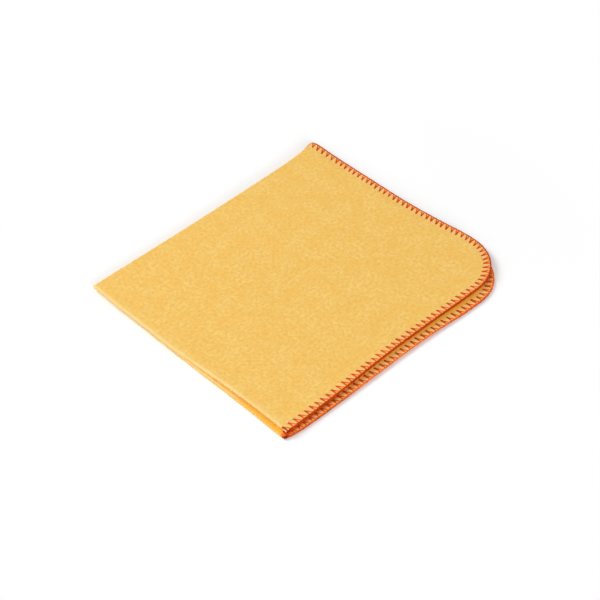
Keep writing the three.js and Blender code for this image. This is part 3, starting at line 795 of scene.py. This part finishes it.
def add_thread(name, path, half_width, half_thickness):
    """A closed flattened tube along a path in the stitched band, with its length as its UV map."""
    at, depth, lift, bulk, tone = path
    places = in_band(at, depth)
    height = lift - band_sink(places)
    middle = laid(places[:, 0], places[:, 1], height)
    above = laid(places[:, 0], places[:, 1], height + UP_SIGHT)
    along = np.roll(middle, -1, 0) - np.roll(middle, 1, 0)
    along /= np.linalg.norm(along, axis=1, keepdims=True)
    across = np.cross(along, above - middle)
    across /= np.linalg.norm(across, axis=1, keepdims=True)
    up = np.cross(across, along)
    turns = np.arange(THREAD_SIDES) * 2 * math.pi / THREAD_SIDES
    size = bulk[:, None, None] * MM
    rings = (middle[:, None] + across[:, None] * np.cos(turns)[None, :, None] * half_width * size
             + up[:, None] * np.sin(turns)[None, :, None] * half_thickness * size)
    count = len(at)
    here = np.arange(count)[:, None] * THREAD_SIDES
    there = (np.arange(count)[:, None] + 1) % count * THREAD_SIDES
    side = np.arange(THREAD_SIDES)[None]
    next_side = (side + 1) % THREAD_SIDES
    faces = np.stack([here + side, there + side, there + next_side, here + next_side], -1).reshape(-1, 4)
    thread = add_piece(name, rings.reshape(-1, 3), faces.tolist(), True)
    lengths = np.concatenate([[0], np.cumsum(np.linalg.norm(np.diff(middle, axis=0), axis=1))])
    lengths = np.append(lengths, lengths[-1] + np.linalg.norm(middle[0] - middle[-1]))
    first = np.repeat(np.arange(count), THREAD_SIDES)
    place = np.tile(np.arange(THREAD_SIDES), count)
    uv = np.stack([np.stack([lengths[first + step], (place + turn) / THREAD_SIDES], -1)
                   for step, turn in ((0, 0), (1, 0), (1, 1), (0, 1))], 1)
    thread.data.uv_layers.new(name="thread_length").data.foreach_set("uv", uv.ravel())
    # The tone for the material: painted pale as a highlight and deep as shade along the thread
    add_attribute(thread.data, "tone", np.repeat(np.clip(tone, 0, 1 + FOLD_SHADE_TONE), THREAD_SIDES))
    return thread


upper_path = thread_path(UPPER_COURSE, seed=3, spread=0.05)
upper_looper = add_thread("upper_looper_thread", upper_path, *UPPER_HALF_SIZES)

# Spun polyester sewing thread, two plies twisted together and dyed: nearly matt, with the twist as
# slanting ridges. The twist is drawn at twice its real pitch, to show from a metre away
TWIST_PITCH = 1.6 * MM
DYE_PATCH = 4 * MM


def thread_material(name, colours):
    """A twisted thread's material, coloured by its tone: painted pale as a highlight where it stands
    up, painted deep as shade where it is pulled in, and deepest, as painted shade, next to the first fold."""
    material = new_material(name)
    thread_place = add_node(material, "ShaderNodeSeparateXYZ", Vector=add_node(
        material, "ShaderNodeUVMap", {"uv_map": "thread_length"}).outputs[0])
    round_thread = add_node(material, "ShaderNodeMath", {"operation": "MULTIPLY"},
                            in0=thread_place.outputs["Y"], in1=4 * math.pi)
    turn = add_node(material, "ShaderNodeMath", {"operation": "MULTIPLY_ADD"},
                    in0=thread_place.outputs["X"], in1=2 * math.pi / TWIST_PITCH,
                    in2=round_thread.outputs[0])
    twist = add_node(material, "ShaderNodeMath", {"operation": "SINE"}, in0=turn.outputs[0])
    twist_share = add_node(material, "ShaderNodeMapRange", in0=twist.outputs[0], in1=-1, in2=1).outputs[0]
    dye = add_node(material, "ShaderNodeTexNoise", Scale=1 / DYE_PATCH, Detail=2,
                   Vector=add_node(material, "ShaderNodeTexCoord").outputs["Object"])
    tone = add_node(material, "ShaderNodeAttribute", {"attribute_name": "tone"}).outputs["Fac"]
    colour = linear(colours[0])
    for start, end, deeper in zip((0, 0.5, 1), (0.5, 1, 1 + FOLD_SHADE_TONE), colours[1:]):
        tone_share = add_node(material, "ShaderNodeMapRange", in0=tone, in1=start, in2=end)
        colour = add_node(material, "ShaderNodeMix", {"data_type": "RGBA"}, in0=tone_share.outputs[0],
                          in6=colour, in7=linear(deeper)).outputs[2]
    dye_value = add_node(material, "ShaderNodeMapRange",
                         in0=dye.outputs["Fac"], in1=0.3, in2=0.7, in3=0.82, in4=1.18)
    twist_value = add_node(material, "ShaderNodeMapRange", in0=twist_share, in1=0, in2=1, in3=0.8, in4=1.15)
    shade = add_node(material, "ShaderNodeMath", {"operation": "MULTIPLY"},
                     in0=dye_value.outputs[0], in1=twist_value.outputs[0])
    shaded = add_node(material, "ShaderNodeHueSaturation", Color=colour, Value=shade.outputs[0])
    bump = add_node(material, "ShaderNodeBump", Strength=0.6, Distance=0.12 * MM, Height=twist_share)
    body = add_node(material, "ShaderNodeBsdfPrincipled", Base_Color=shaded.outputs[0], Roughness=0.6,
                    Specular_IOR_Level=0.1, Normal=bump.outputs[0])
    add_node(material, "ShaderNodeOutputMaterial", Surface=body.outputs[0])
    return material


dyed_thread = thread_material("twisted sewing thread dyed red", ("#fe9246", "#ee640c", "#b43e00", "#8c1400"))
upper_looper.data.materials.append(dyed_thread)
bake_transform(upper_looper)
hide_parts("lower_half_upper_looper_thread", "upper_half_upper_looper_thread")


# The lower looper thread: the same red thread on the other face, in a plain zigzag that hooks the
# upper looper at the cut edge, where the two make the purl.
LOWER_HALF_SIZES = (0.5, 0.3)
LOWER_COURSE = [(0.0, 5.1, -0.2, 1.1, 1), (0.01, 4.3, -0.3, 1.0, 0.8), (0.04, 0.9, -0.3, 1.0, 0.4),
                (0.07, -0.1, -0.2, 1.1, 0.6), (0.16, -0.4, 0.05, 1.3, 1), (0.58, -0.4, 0.05, 1.3, 1),
                (0.68, -0.15, -0.15, 1.1, 0.6), (0.72, 0.8, -0.3, 0.9, 0.4), (0.94, 4.5, -0.3, 1.0, 0.8)]
lower_path = thread_path(LOWER_COURSE, seed=5, spread=0.04)
lower_looper = add_thread("lower_looper_thread", lower_path, *LOWER_HALF_SIZES)
lower_looper.data.materials.append(dyed_thread)
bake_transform(lower_looper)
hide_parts("lower_half_lower_looper_thread", "upper_half_lower_looper_thread")


# The needle thread: a yellow thread in one row of stitches, a needle pitch in from the edge. Each
# stitch goes down through the cloth over the points of both loopers and holds them there.
NEEDLE_HALF_SIZES = (0.28, 0.24)
NEEDLE_COURSE = [(0.0, 5.3, -0.15, 1, 1), (0.08, 5.3, 0.25, 1, 0.6), (0.25, 5.3, 0.4, 1, 0),
                 (0.5, 5.3, 0.42, 1, 0), (0.75, 5.3, 0.4, 1, 0), (0.92, 5.3, 0.25, 1, 0.6)]
needle_path = thread_path(NEEDLE_COURSE, seed=7, spread=0.01)
needle_thread = add_thread("needle_thread", needle_path, *NEEDLE_HALF_SIZES)
plain_thread = thread_material("twisted sewing thread dyed yellow",
                               ("#fccf7c", "#f2b450", "#d88c30", "#c87820"))
needle_thread.data.materials.append(plain_thread)
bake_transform(needle_thread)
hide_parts("lower_half_needle_thread", "upper_half_needle_thread")
